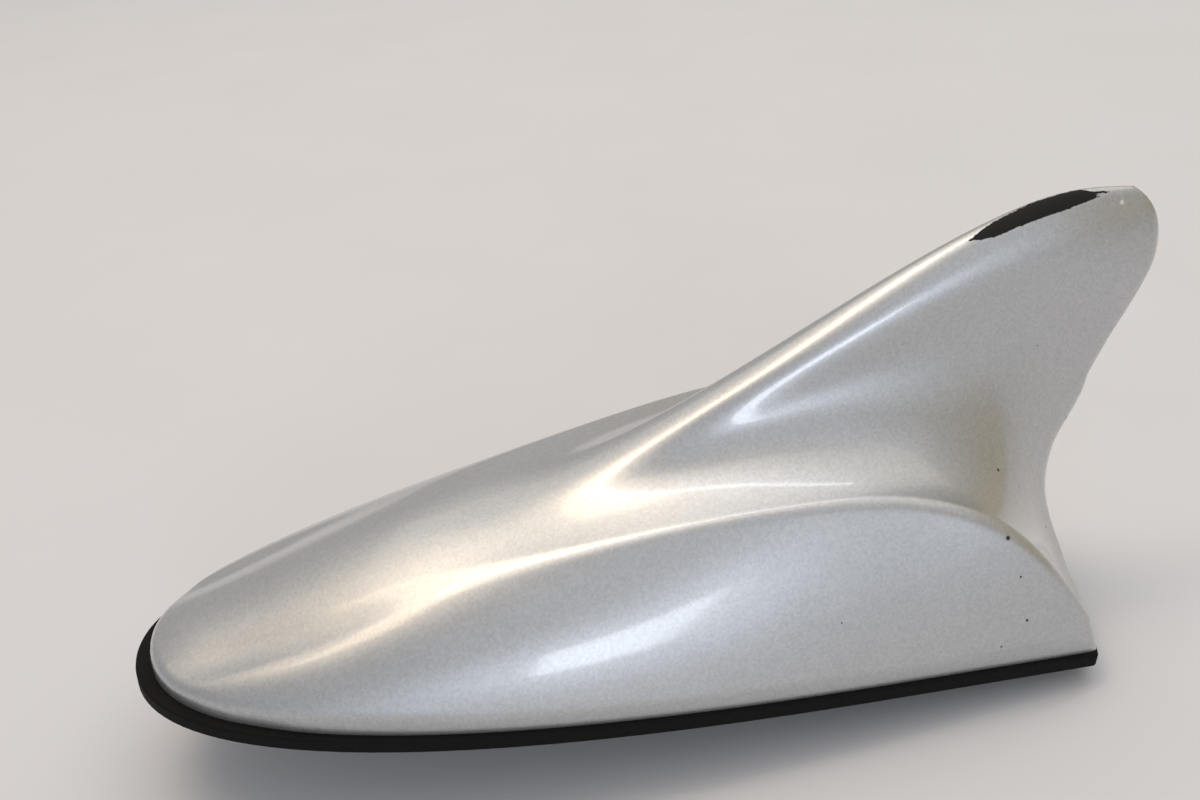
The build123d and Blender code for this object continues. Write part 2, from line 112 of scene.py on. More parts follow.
# Points over the top crowd towards the ridge and the crease, and rows towards the nose and rear corner
ridge_crowding, crease_crowding = 1.3, 1.4
row_even, row_late, row_wave = 0.55, 0.45, 0.075

# Rows fan out round the nose from a place on the ridge until the rim runs along the side
fan_start = 22.0
fan_end = 16.0
fan_merge = 45.0
fan_ease = 1.2
ridge_shift = 0.6

# Rounding of the rim by the distance behind the nose, over the outer share of each row
roll_places = (4, 30, 120)
roll_radius = (1.6, 1.0, 0.6)
roll_share = 0.6
outer_share = 0.75
pull_run = 15.0

# The tail cuts the form only behind a place; its wall ends where the fin's own rows begin
tail_search = 97.0
deck_turn = 0.4
fin_turn = 0.3
fin_low = 9.0

# Rounding of the trailing edges by height, narrowed near both ends of the rear deck
edge_rounding = ((2.2, 1.2), (6, 1.5), (10, 2.5), (16, 4.0), (24, 4.4), (32, 3.6), (42, 2.8), (70, 2.6))
taper_start, taper_rate = 0.4, 0.5
edge_share = 0.45
edge_rows = 80

# Lip turned in under the rim, room left under the top of the part, and the sharpest smooth edge in radians
lip_scale = (0.972, 0.93, 1)
lip_centre = (-4, 0, rim_low)
lip_height = 1.2
top_room = 0.01
smooth_angle = 0.9

# Place and axes of the camera, at the photograph's viewing angle
camera_place = (-48.8, -158.3, 130.4)
camera_right = (0.9722, -0.2337, 0.0153)
camera_up = (0.1003, 0.4746, 0.8745)
camera_back = (-0.2116, -0.8486, 0.4848)

# Patch rubbed through on the ridge, outlined as seen from there: across and up per thousand of distance
worn_outline = ((305.8, 131.7), (321.7, 144.7), (338.3, 154.0), (358.3, 163.7), (376.7, 170.0),
                (396.7, 175.0), (405.0, 175.7), (406.7, 173.8), (410.0, 173.7), (426.3, 174.5),
                (416.7, 169.5), (403.3, 164.5), (390.0, 158.8), (370.0, 152.5), (350.0, 144.7),
                (331.7, 136.8), (318.3, 133.3))
outline_scale = 1000
facing_depth = 4

# Specks stuck to the paint, and one near-white round spot at the tip: place in the part's frame and radius
specks = ((72.2, -3.7, 29.1, 0.3), (53.8, -13.9, 27.3, 0.35), (48.8, -26.9, 23.7, 0.45),
          (49.5, -27.3, 22.2, 0.25), (50.9, -29.1, 17.6, 0.22), (52.4, -31.0, 10.3, 0.3),
          (65.8, -13.3, 13.9, 0.3), (48.3, -31.7, 6.3, 0.2))
speck_core = 0.6
tip_white_spot = (74.6, -1.9, 67.1, 0.5)
white_spot_core = 0.5


def curve_through(knots, values, places):
    """Smooth cubic curve through values at knots, read at places."""
    knots = np.asarray(knots, float)
    values = np.asarray(values, float)
    count = len(knots)
    steps = np.diff(knots)
    slopes = np.diff(values, axis=0) / steps[:, None]
    system = np.zeros((count, count))
    changes = np.zeros_like(values)
    for i in range(1, count - 1):
        system[i, i - 1:i + 2] = steps[i - 1], 2 * (steps[i - 1] + steps[i]), steps[i]
        changes[i] = 6 * (slopes[i] - slopes[i - 1])
    system[0, :3] = steps[1], -steps[0] - steps[1], steps[0]
    system[-1, -3:] = steps[-1], -steps[-1] - steps[-2], steps[-2]
    bends = np.linalg.solve(system, changes)
    i = np.clip(np.searchsorted(knots, places) - 1, 0, count - 2)
    after = ((places - knots[i]) / steps[i])[:, None]
    before = 1 - after
    curl = (before**3 - before) * bends[i] + (after**3 - after) * bends[i + 1]
    return before * values[i] + after * values[i + 1] + curl * steps[i][:, None] ** 2 / 6


def bend_between(first, corner, last, shares):
    """Points of a curve from first to last that is drawn towards a corner."""
    t = shares[:, None]
    return (1 - t) ** 2 * first + 2 * t * (1 - t) * corner + t**2 * last


def run_lengths(points):
    """Distance along a row of points."""
    return np.concatenate([[0], np.cumsum(np.linalg.norm(np.diff(points, axis=0), axis=1))])


def along(points, lengths):
    """Points at given distances along a row of points."""
    run = run_lengths(points)
    return np.stack([np.interp(lengths, run, points[:, k]) for k in range(points.shape[1])], axis=1)


def crossing(inside, first):
    """Fractional index where a row of values turns from negative, or last turns to negative."""
    signs = inside >= 0
    i = int(np.argmax(signs)) - 1 if first else int(len(signs) - 1 - np.argmax(signs[::-1]))
    return i + inside[i] / (inside[i] - inside[i + 1])


def half_section(rib):
    """Half of a rib's outline: from the ridge, round the soft crease and down past the rim."""
    stretch = sqrt(1 + rib.lean**2)
    rise = rib.ridge - rib.crease_z
    heights = [(rib.crease_z + share * rise) * stretch for share in (cap_share, flank_share, root_share)]
    crease = np.array([rib.crease_share * cover_half, rib.crease_z * stretch])
    half = [*zip((rib.cap, rib.flank, rib.root), heights), tuple(crease)]
    whole = [(-y, z) for y, z in reversed(half)] + [(0, rib.ridge * stretch)] + half
    knots = run_lengths(np.array(whole))
    top = curve_through(knots, whole, np.linspace(knots[len(half)], knots[-1], curve_samples))
    # The skirt is a parabola that stands out from its chord by the bulge
    chord = np.array([rib.rim_share * cover_half, rib.rim_z]) - crease
    outward = np.array([-chord[1], chord[0]])
    outward *= 4 * rib.bulge / np.linalg.norm(outward)
    middle = crease + (chord + outward) * skirt_run / 2
    end = crease + chord * skirt_run + outward * skirt_run * (1 - skirt_run)
    skirt = bend_between(crease, middle, end, np.linspace(0, 1, curve_samples))
    top_length = run_lengths(top)[-1] - rib.soft
    top_shares = 1 - (1 - np.linspace(0, 1, top_steps + 1) ** ridge_crowding) ** crease_crowding
    top_part = along(top, top_length * top_shares)
    skirt_part = along(skirt, np.linspace(rib.soft, run_lengths(skirt)[-1], skirt_steps + 1))
    shoulder = bend_between(top_part[-1], crease, skirt_part[0], np.linspace(0, 1, round_steps + 1))
    flat = np.concatenate([top_part[:-1], shoulder[:-1], skirt_part])
    z = flat[:, 1] / stretch
    return np.stack([rib.at + rib.lean * z, flat[:, 0], z], axis=1)


def plan_half(x):
    """Half breadth of the cover's outline seen from above."""
    t = np.linspace(0, 1, plan_samples)
    plan_x = nose_ledge + 3 * (1 - t) * t**2 * nose_fullness + t**3 * (widest_at - nose_ledge)
    plan_y = 3 * (1 - t) ** 2 * t * nose_bluntness + 3 * (1 - t) * t**2 * cover_half + t**3 * cover_half
    return np.interp(x, plan_x, plan_y, left=-1)


def tail_reach(z):
    """Radius of the tail about its upright axis at a height."""
    line = []
    for points in ((tail_foot, *tail_waist, trailing_low), (trailing_high, *tip_round, tip_top)):
        knots = run_lengths(np.array(points))
        line.append(curve_through(knots, points, np.linspace(0, knots[-1], tail_samples)))
    line = np.concatenate(line)
    return np.interp(z, line[:, 1], line[:, 0] - tail_centre, right=-1)


def on_tail(turn, level):
    """Points of the hollow tail at turns about its axis and at heights."""
    reach = tail_reach(level)
    return np.stack([tail_centre + reach * np.cos(turn), -reach * np.sin(turn), level], axis=1)


def cover_form():
    """Places along the cover, and its form there as points down each half rib."""
    places = np.linspace(ribs[0].at, ribs[-1].at, form_places)
    lattice = np.array([half_section(rib) for rib in ribs])
    form = curve_through([rib.at for rib in ribs], lattice.reshape(len(ribs), -1), places)
    return places, form.reshape(form_places, -1, 3)


def on_form(form, at, role):
    """Points of the form at fractional indices along it and down its half ribs."""
    i = np.clip(np.floor(at).astype(int), 0, form.shape[0] - 2)
    r = np.clip(np.floor(role).astype(int), 0, form.shape[1] - 2)
    p = (at - i)[..., None]
    q = (role - r)[..., None]
    ahead = form[i, r] * (1 - q) + form[i, r + 1] * q
    behind = form[i + 1, r] * (1 - q) + form[i + 1, r + 1] * q
    return ahead * (1 - p) + behind * p


# Indices on the form where rows start and end and where the tail cuts it, and the first row past the fan
Layout = namedtuple("Layout", "ridge_at edge_at edge_role tail_at fan")


def lay_out_rows(places, form):
    """Where the form meets the nose, the rim and the tail, and the rows of the skin between them."""
    count, roles = form.shape[:2]
    index = np.arange(count)
    role_index = np.arange(roles)
    in_plan = plan_half(form[..., 0]) - form[..., 1]
    in_tail = tail_reach(form[..., 2]) - np.hypot(form[..., 0] - tail_centre, form[..., 1])
    in_tail[places < tail_search] = 1
    met = [r for r in range(roles) if in_plan[0, r] < 0 and (in_plan[:, r] >= 0).any()]
    nose_at = np.interp(role_index, met, [crossing(in_plan[:, r], True) for r in met])
    tail_at = np.array([crossing(in_tail[:, r], False) for r in range(roles)])
    reached = [i for i in range(count) if in_plan[i, crease_column] > 0 and (in_plan[i] < 0).any()]
    rim_role = np.interp(index, reached, [crossing(in_plan[i], False) for i in reached])
    to_tail = np.interp(rim_role[reached], role_index, tail_at) - np.array(reached)
    rear_at = crossing(to_tail, False) + reached[0]

    # Outer edge from the nose round to the rear corner
    bend_at = np.interp(fan_end, places, index)
    nose_roles = np.linspace(0, np.interp(bend_at, index, rim_role), curve_samples)
    nose_places = np.interp(nose_roles, role_index, nose_at)
    rim_places = np.linspace(nose_places[-1], rear_at, rim_samples)[1:]
    edge_at = np.concatenate([nose_places, rim_places])
    edge_role = np.concatenate([nose_roles, np.interp(rim_places, index, rim_role)])
    run = run_lengths(on_form(form, edge_at, edge_role))
    spread = row_even * row_shares + row_late * row_shares**2 - row_wave * np.sin(2 * pi * row_shares)
    spread = np.clip(spread * run[-1], 0, run[-1])
    edge_at = np.interp(spread, run, edge_at)
    edge_role = np.interp(spread, run, edge_role)

    # Places on the ridge that the rows start from
    fan_at = np.interp(fan_start, places, index)
    merge_at = np.interp(fan_merge, places, index)
    merge = np.clip((edge_at - edge_at[0]) / (merge_at - edge_at[0]), 0, 1)
    ridge_at = fan_at + (np.maximum(edge_at, fan_at) - fan_at) * merge**fan_ease
    shift = np.clip((row_shares - ridge_shift) / (1 - ridge_shift), 0, 1) ** 2
    ridge_at += (tail_at[0] - ridge_at[-1]) * shift
    return Layout(ridge_at, edge_at, edge_role, tail_at, int(np.argmax(edge_at > bend_at)))


def row_points(form, layout, r, shares):
    """Points of one row at shares of its way from the ridge to the outer edge."""
    ridge_at, edge_at, edge_role, tail_at, _ = layout
    at = ridge_at[r] + (edge_at[r] - ridge_at[r]) * shares
    role = edge_role[r] * shares
    # Over the rear half the rows drift back, so that the last one lies on the tail
    rear_role = np.interp(role, (0, crease_column, edge_role[r]), (0, crease_column, edge_role[rows]))
    rear = ridge_at[rows] + (edge_at[rows] - ridge_at[rows]) * rear_role / edge_role[rows]
    drift = np.interp(rear_role, np.arange(form.shape[1]), tail_at) - rear
    return on_form(form, at + drift * np.clip(2 * row_shares[r] - 1, 0, 1) ** 2, role)


def half_skin(form, layout):
    """Half of the skin by column and row: from the ridge over the skirt, round the rim and down."""
    columns = crease_column + skirt_columns + 2 * roll_columns + band_columns + 1
    half = np.zeros((columns, rows + 1, 3))
    outer = np.linspace(outer_share, 1, curve_samples)
    roll = np.linspace(0, 1, 2 * roll_columns + 1)[1:]
    drop = np.linspace(0, 1, band_columns + 1)[1:, None]
    for r in range(rows, -1, -1):
        track = row_points(form, layout, r, outer)
        rim = track[-1]
        cut = min(np.interp(rim[0], roll_places, roll_radius), roll_share * (rim[2] - rim_low))
        turn_share = np.interp(-cut, -run_lengths(track[::-1])[::-1], outer)
        if r >= layout.fan:
            edge_role = layout.edge_role[r]
            skirt_shares = np.linspace(crease_column / edge_role, turn_share, skirt_columns + 1)
            shares = np.concatenate([np.arange(crease_column) / edge_role, skirt_shares])
            fan_shares = shares / turn_share
        else:
            shares = fan_shares * turn_share
        skin = row_points(form, layout, r, shares)
        low = rim - (0, 0, cut)
        foot = np.array([rim[0], rim[1], rim_low])
        under = np.concatenate([bend_between(skin[-1], rim, low, roll), low + (foot - low) * drop])
        if row_shares[r] > 0.5:
            # Near the rear corner the band leans with the tail
            reach = [np.sqrt(tail_reach(z) ** 2 - rim[1] ** 2) for z in (under[:, 2], rim[2:])]
            pull = 1
            if r < rows:
                pull = np.clip(1 - (half[len(shares), rows, 0] - rim[0]) / pull_run, 0, 1) ** 2
            under[:, 0] += pull * (reach[0] - reach[1])
        half[:, r] = np.concatenate([skin, under])
    half[0, :, 1] = 0
    half[:, 0, 1] = 0
    return half


# Trailing edge, where its crest and fin begin, and the point indices of the wall's columns and fin's rows
Tail = namedtuple("Tail", "edge crest fin_start wall fin_rows")


def hollow_tail(points, near_rows, far_rows):
    """Adds the tail's points: a low wall under both trailing edges and rows across the fin above it."""
    edge = points[near_rows[:, 0]]
    turns = np.arcsin(-edge[:, 1] / tail_reach(edge[:, 2]))
    crest = int(np.argmax(edge[:, 2] * (turns > deck_turn)))
    fin_start = int(np.argmax((edge[:, 2] > fin_low) & (turns < fin_turn)))
    sweep = np.cos(pi * np.arange(1, across) / across)
    fin_rows = []
    for k in range(fin_start, len(edge)):
        fin_rows.append([near_rows[k, 0], *range(len(points), len(points) + across - 1), far_rows[k, 0]])
        points = np.concatenate([points, on_tail(turns[k] * sweep, np.full(across - 1, edge[k, 2]))])
    heads = [*near_rows[crest + 1:fin_start, 0], *fin_rows[0], *far_rows[fin_start - 1:crest:-1, 0]]
    levels = (edge[:crest, 2] - rim_low) / (edge[crest, 2] - rim_low)
    wall = [near_rows[:crest + 1, 0]]
    for head in heads:
        _, y, z = points[head]
        wall.append([*range(len(points), len(points) + crest), head])
        turn = np.full(crest, np.arcsin(-y / tail_reach(z)))
        points = np.concatenate([points, on_tail(turn, rim_low + (z - rim_low) * levels)])
    wall.append(far_rows[:crest + 1, 0])
    return points, Tail(edge, crest, fin_start, np.array(wall), np.array(fin_rows))


def tail_faces(tail, tip):
    """Faces of the hollow tail, whose fin closes at the tip."""
    faces = []
    for low, high in zip(tail.fin_rows, tail.fin_rows[1:]):
        for k in range(across):
            faces.append((low[k], low[k + 1], high[k + 1], high[k]))
    last = tail.fin_rows[-1]
    for k in range(across):
        faces.append((last[k], last[k + 1], tip))
    for column, beside in zip(tail.wall, tail.wall[1:]):
        for j in range(tail.crest):
            faces.append((column[j], beside[j], beside[j + 1], column[j + 1]))
    return faces


def round_trailing_edges(points, tail, near_rows, far_rows):
    """Bends the skin and the tail into each other along both trailing edges."""
    sharp = points.copy()
    rise = run_lengths(tail.edge)
    for k in range(len(tail.edge)):
        if k <= tail.crest:
            ends = tail.wall[:, k], tail.wall[::-1, k]
        elif k < tail.fin_start:
            ends = tail.wall[k - tail.crest, ::-1], tail.wall[tail.crest - k - 1, ::-1]
        else:
            fin_row = tail.fin_rows[k - tail.fin_start]
            ends = fin_row, fin_row[::-1]
        reach = np.interp(tail.edge[k, 2], *zip(*edge_rounding))
        for corner in (tail.crest, tail.fin_start):
            reach = min(reach, taper_start + taper_rate * abs(rise[k] - rise[corner]))
        for skin, end in zip((near_rows[k, :edge_rows], far_rows[k, :edge_rows]), ends):
            before = run_lengths(sharp[skin])
            after = run_lengths(sharp[end])
            cut = min(reach, edge_share * after[-1])
            first = along(sharp[skin], [cut])[0]
            last = along(sharp[end], [cut])[0]
            for part, run, way in ((skin, before, -1), (end, after, 1)):
                close = run < cut
                shares = 0.5 + 0.5 * way * run[close] / cut
                points[part[close]] = bend_between(first, sharp[skin[0]], last, shares)


def cover_skin():
    """Points in millimetres and faces of the cover's outer skin."""
    places, form = cover_form()
    half = half_skin(form, lay_out_rows(places, form))
    side = len(half) - 1
    far = np.arange((side + 1) * (rows + 1)).reshape(side + 1, rows + 1)
    near = far.copy()
    near[1:, 1:] = far.size + np.arange(side * rows).reshape(side, rows)
    points = np.concatenate([half.reshape(-1, 3), half[1:, 1:].reshape(-1, 3) * (1, -1, 1)])
    faces = []
    for c in range(side):
        for r in range(rows):
            faces.append((far[c, r], far[c, r + 1], far[c + 1, r + 1], far[c + 1, r]))
            faces.append((near[c, r], near[c + 1, r], near[c + 1, r + 1], near[c, r + 1]))
    near_rows = near[:0:-1, ::-1]
    far_rows = far[:0:-1, ::-1]
    points, tail = hollow_tail(points, near_rows, far_rows)
    faces += tail_faces(tail, far[0, rows])
    round_trailing_edges(points, tail, near_rows, far_rows)
    return points, [tuple(int(i) for i in face) for face in faces]


def worn_depth(points, normals):
    """Millimetres inside the worn outline, negative outside it and on surfaces turned away."""
    seen_from = np.array(camera_place) + (nose_reach, 0, 0)
    axes = np.array([camera_right, camera_up, camera_back])
    across_view, up_view, behind = ((points - seen_from) @ axes.T).T
    distance = -behind
    x = outline_scale * across_view / distance
    y = outline_scale * up_view / distance
    inside = np.zeros(len(points), bool)
    away = np.full(len(points), np.inf)
    for (ax, ay), (bx, by) in zip(worn_outline, worn_outline[1:] + worn_outline[:1]):
        run_x = bx - ax
        run_y = by - ay
        between = (ay > y) != (by > y)
        inside ^= between & (x < ax + (y - ay) * run_x / run_y)
        share = np.clip(((x - ax) * run_x + (y - ay) * run_y) / (run_x**2 + run_y**2), 0, 1)
        away = np.minimum(away, np.hypot(x - ax - share * run_x, y - ay - share * run_y))
    depth = np.where(inside, away, -away) * distance / outline_scale
    facing = ((seen_from - points) * normals).sum(1) / distance
    return np.minimum(depth, facing_depth * facing)


def linear(hexcode):
    """Linear colour from an sRGB hex value."""
    parts = [int(hexcode[k:k + 2], 16) / 255 for k in (1, 3, 5)]
    return (*[c / 12.92 if c <= 0.04045 else ((c + 0.055) / 1.055) ** 2.4 for c in parts], 1)


def add(tree, kind, inputs=None, **settings):
    """Adds a node with its settings; an input is a value or the socket that feeds it."""
    made = tree.nodes.new("ShaderNode" + kind)
    for name, value in settings.items():
        setattr(made, name, value)
    for socket, value in (inputs or {}).items():
        if isinstance(value, bpy.types.NodeSocket):
            tree.links.new(value, made.inputs[socket])
        else:
            made.inputs[socket].default_value = value
    return made


def new_material(name):
    """An empty material and its node tree."""
    material = bpy.data.materials.new(name)
    material.use_nodes = True
    material.node_tree.nodes.clear()
    return material, material.node_tree


def per_mm(size):
    """Texture scale at which one feature is this many millimetres."""
    return 1000 / size


def round_spot(tree, place, spot, core):
    """One on a spot's place in millimetres, and fading to nothing from a core share of its radius."""
    *centre, radius = spot
    off = add(tree, "VectorMath", {0: place, 1: [v * MM for v in centre]}, operation="DISTANCE")
    fade = {"Value": off.outputs["Value"], "From Min": radius * MM, "From Max": core * radius * MM}
    return add(tree, "MapRange", fade).outputs[0]


def painted_silver():
    """Silver metallic paint: fine flakes under a glossy clear coat, rubbed to black on the ridge."""
    material, tree = new_material("silver_metallic_paint")
    place = add(tree, "TexCoord").outputs["Object"]
    # Flakes are near 0.05 mm and are drawn at 0.4 mm so that they show
    flakes = add(tree, "TexVoronoi", {"Vector": place, "Scale": per_mm(0.4)})
    cloud = add(tree, "TexNoise", {"Vector": place, "Scale": per_mm(14), "Detail": 3})
    glint = add(tree, "MapRange", {"Value": flakes.outputs["Color"], "To Min": 0.38, "To Max": 0.62})
    drift = add(tree, "MapRange", {"Value": cloud.outputs["Fac"], "To Min": -0.04, "To Max": 0.04})
    tone = add(tree, "Math", {0: glint.outputs[0], 1: drift.outputs[0]})
    silver = add(tree, "Mix", {0: tone.outputs[0], 6: linear("#96999C"), 7: linear("#DCDDDE")},
                 data_type="RGBA")
    # Paint ends raggedly, at a grain of 0.7 mm, where the ridge is rubbed bare
    worn = add(tree, "Attribute", attribute_name="worn")
    rag = add(tree, "TexNoise", {"Vector": place, "Scale": per_mm(0.7), "Detail": 6, "Roughness": 0.65})
    ragged = add(tree, "Math", {0: rag.outputs["Fac"], 1: 0.7, 2: -0.35}, operation="MULTIPLY_ADD")
    depth = add(tree, "Math", {0: worn.outputs["Fac"], 1: ragged.outputs[0]})
    bare = add(tree, "MapRange", {"Value": depth.outputs[0], "From Min": -0.05, "From Max": 0.05})
    rubbed = add(tree, "Mix", {0: bare.outputs[0], 6: silver.outputs[2], 7: linear("#070606")},
                 data_type="RGBA")
    # Fine grit about 8 mm apart, and the larger specks one by one
    grit = add(tree, "TexVoronoi", {"Vector": place, "Scale": per_mm(8)})
    dirt = add(tree, "MapRange", {"Value": grit.outputs["Distance"], "From Min": 0.02, "From Max": 0.012})
    dirt = dirt.outputs[0]
    for speck in specks:
        spot = round_spot(tree, place, speck, speck_core)
        dirt = add(tree, "Math", {0: dirt, 1: spot}, operation="MAXIMUM").outputs[0]
    dirty = add(tree, "Mix", {0: dirt, 6: rubbed.outputs[2], 7: linear("#2E2721")}, data_type="RGBA")
    # A near-white round spot on the tip of the fin, brighter than the silver paint around it
    white_spot_mask = round_spot(tree, place, tip_white_spot, white_spot_core)
    skin = add(tree, "Mix", {0: white_spot_mask, 6: dirty.outputs[2], 7: linear("#F4F5F6")}, data_type="RGBA")
    metal = add(tree, "MapRange", {"Value": bare.outputs[0], "To Min": 0.85, "To Max": 0.0})
    rough = add(tree, "MapRange", {"Value": bare.outputs[0], "To Min": 0.4, "To Max": 0.85})
    coat = add(tree, "MapRange", {"Value": bare.outputs[0], "To Min": 1.0, "To Max": 0.0})
    shader = add(tree, "BsdfPrincipled", {
        "Base Color": skin.outputs[2], "Metallic": metal.outputs[0], "Roughness": rough.outputs[0],
        "Coat Weight": coat.outputs[0], "Coat Roughness": 0.09, "Coat IOR": 1.5})
    add(tree, "OutputMaterial", {"Surface": shader.outputs[0]})
    return material


def moulded_rubber():
    """EPDM rubber: matte black with a fine mould grain and a little dust."""
    material, tree = new_material("black_epdm_rubber")
    place = add(tree, "TexCoord").outputs["Object"]
    grain = add(tree, "TexNoise", {"Vector": place, "Scale": per_mm(0.5), "Detail": 4})
    dust = add(tree, "TexNoise", {"Vector": place, "Scale": per_mm(9), "Detail": 6, "Roughness": 0.7})
    film = add(tree, "MapRange", {
        "Value": dust.outputs["Fac"], "From Min": 0.45, "From Max": 0.8, "To Max": 0.3})
    skin = add(tree, "Mix", {0: film.outputs[0], 6: linear("#040404"), 7: linear("#121110")},
               data_type="RGBA")
    rough = add(tree, "MapRange", {"Value": grain.outputs["Fac"], "To Min": 0.66, "To Max": 0.86})
    relief = add(tree, "Bump", {"Height": grain.outputs["Fac"], "Strength": 0.15, "Distance": 0.1 * MM})
    shader = add(tree, "BsdfPrincipled", {
        "Base Color": skin.outputs[2], "Roughness": rough.outputs[0],
        "Normal": relief.outputs[0], "IOR": 1.3})
    add(tree, "OutputMaterial", {"Surface": shader.outputs[0]})
    return material


def grained(name, light, dark, size, rough, metallic=0.0, ior=1.5, bump=0.1):
    """A made surface whose tone, gloss and relief follow one fine grain, its size in millimetres."""
    material, tree = new_material(name)
    place = add(tree, "TexCoord").outputs["Object"]
    grain = add(tree, "TexNoise", {"Vector": place, "Scale": per_mm(size), "Detail": 5, "Roughness": 0.6})
    broad = add(tree, "TexNoise", {"Vector": place, "Scale": per_mm(size * 12), "Detail": 3})
    tone = add(tree, "Math", {0: grain.outputs["Fac"], 1: broad.outputs["Fac"]}, operation="MULTIPLY")
    share = add(tree, "MapRange", {"Value": tone.outputs[0], "From Min": 0.12, "From Max": 0.38})
    skin = add(tree, "Mix", {0: share.outputs[0], 6: linear(dark), 7: linear(light)}, data_type="RGBA")
    gloss = add(tree, "MapRange", {
        "Value": grain.outputs["Fac"], "To Min": rough - 0.08, "To Max": rough + 0.08})
    relief = add(tree, "Bump", {
        "Height": grain.outputs["Fac"], "Strength": bump, "Distance": size * 0.2 * MM})
    shader = add(tree, "BsdfPrincipled", {
        "Base Color": skin.outputs[2], "Metallic": metallic, "Roughness": gloss.outputs[0],
        "Normal": relief.outputs[0], "IOR": ior})
    add(tree, "OutputMaterial", {"Surface": shader.outputs[0]})
    return material


def finish_cover():
    """The painted cover: a skin over the ribs, closed by a lip under the rim."""
    points, faces = cover_skin()
    points[:, 2] = np.minimum(points[:, 2], cad_box[1][2] / MM - top_room)
    mesh = bpy.data.meshes.new("cover_skin")
    mesh.from_pydata(((points - (nose_reach, 0, 0)) * MM).tolist(), [], faces)
    cover = bpy.data.objects.new("cover_skin", mesh)
    bpy.context.scene.collection.objects.link(cover)
    bpy.ops.object.select_all(action="DESELECT")
    cover.select_set(True)
    bpy.context.view_layer.objects.active = cover
    bpy.ops.object.mode_set(mode="EDIT")
    bpy.ops.mesh.select_mode(type="EDGE")
    bpy.ops.mesh.select_all(action="SELECT")
    bpy.ops.mesh.normals_make_consistent(inside=False)
    bpy.ops.mesh.select_all(action="DESELECT")
    bpy.ops.mesh.select_non_manifold(extend=False, use_wire=False, use_multi_face=False,
                                     use_non_contiguous=False, use_verts=False)
    bpy.ops.mesh.extrude_region_move()
    bpy.ops.transform.resize(value=lip_scale, center_override=[v * MM for v in lip_centre])
    bpy.ops.mesh.extrude_region_move(TRANSFORM_OT_translate={"value": (0, 0, lip_height * MM)})
    bpy.ops.object.mode_set(mode="OBJECT")
    bpy.ops.object.shade_smooth_by_angle(angle=smooth_angle)
    worn = mesh.attributes.new("worn", "FLOAT", "POINT")
    places = np.array([vertex.co for vertex in mesh.vertices]) / MM + (nose_reach, 0, 0)
    normals = np.array([vertex.normal for vertex in mesh.vertices])
    worn.data.foreach_set("value", worn_depth(places, normals))
    mesh.materials.append(painted_silver())
    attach(cover, "root")
    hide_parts("fin_cover")


finish_cover()

# Finish of each other node, by what it is made of
finishes = (
    (moulded_rubber(), ("rim_seal",)),
    # Cast zinc is a dull grey metal with a soft mottle from the die
    (grained("die_cast_zinc_alloy", "#B6B8BA", "#8C8F92", 0.6, 0.42, metallic=1.0), ("base_plate",)),
    # Cut foam is near black and quite matte, with its cells open on the skin
    (grained("closed_cell_foam", "#2A2A2B", "#101011", 0.7, 0.9, bump=0.6), ("roof_foam",)),
    # Moulded PBT is a black plastic with a satin gloss
    (grained("black_pbt_plastic", "#26272A", "#1A1B1D", 0.4, 0.45, ior=1.55), ("harness_socket",)),
    # Fired ceramic is cream and dense, with a dull sheen
    (grained("patch_ceramic", "#DACDB4", "#BDAE93", 0.3, 0.5, ior=1.7), ("satellite_patch",)),
    # Silver fired on as a paste is a pale and slightly rough metal
    (grained("fired_silver", "#E2E2DF", "#BDBDBA", 0.3, 0.4, metallic=1.0), ("patch_electrode",)),
    # Undyed nylon is an off-white plastic
    (grained("natural_nylon", "#E1DFD8", "#CFCCC2", 0.5, 0.5, ior=1.53), ("fin_board_holder",)),
    # Rolled phosphor bronze is a warm and smooth spring metal
    (grained("phosphor_bronze", "#D9AE7C", "#B98A58", 0.4, 0.3, metallic=1.0), ("feed_clip",)),
    # Sintered ferrite is a dark grey with a stony grain
    (grained("sintered_ferrite", "#4A4A4A", "#303030", 0.3, 0.6), ("coil_core",)),
    # Enamelled wire is bright copper under a clear lacquer
    (grained("enamelled_copper", "#C97B4A", "#9C5730", 0.4, 0.25, metallic=1.0), ("coil_winding",)),
    # Solder mask is a glossy green lacquer over the board
    (grained("green_solder_mask", "#2B7A4B", "#1C5C36", 0.5, 0.35), ("main_board", "fin_board")),
    # Zinc plate is a bright grey metal with a faint haze
    (grained("bright_zinc_plate", "#C9CBCB", "#A3A6A6", 0.3, 0.32, metallic=1.0),
     ("bolt_bush", "cover_screws", "board_screws")),
    # Gold plate is a bright yellow metal
    (grained("gold_plated_brass", "#E6C777", "#C9A553", 0.3, 0.22, metallic=1.0),
     ("coax_pins", "coax_sleeves", "patch_pin")),
    # Tinned sheet is a pale and smooth metal
    (grained("tinned_steel", "#D3D5D6", "#B3B6B8", 0.4, 0.3, metallic=1.0),
     ("amplifier_can", "mobile_element")),
    # Foam tape is mid grey and matte
    (grained("grey_foam_tape", "#77777A", "#5C5C60", 0.5, 0.85, bump=0.4), ("patch_pad", "fin_board_pads")),
)
for material, names in finishes:
    for name in names:
        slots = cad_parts[name].data.materials
        slots.clear()
        slots.append(material)

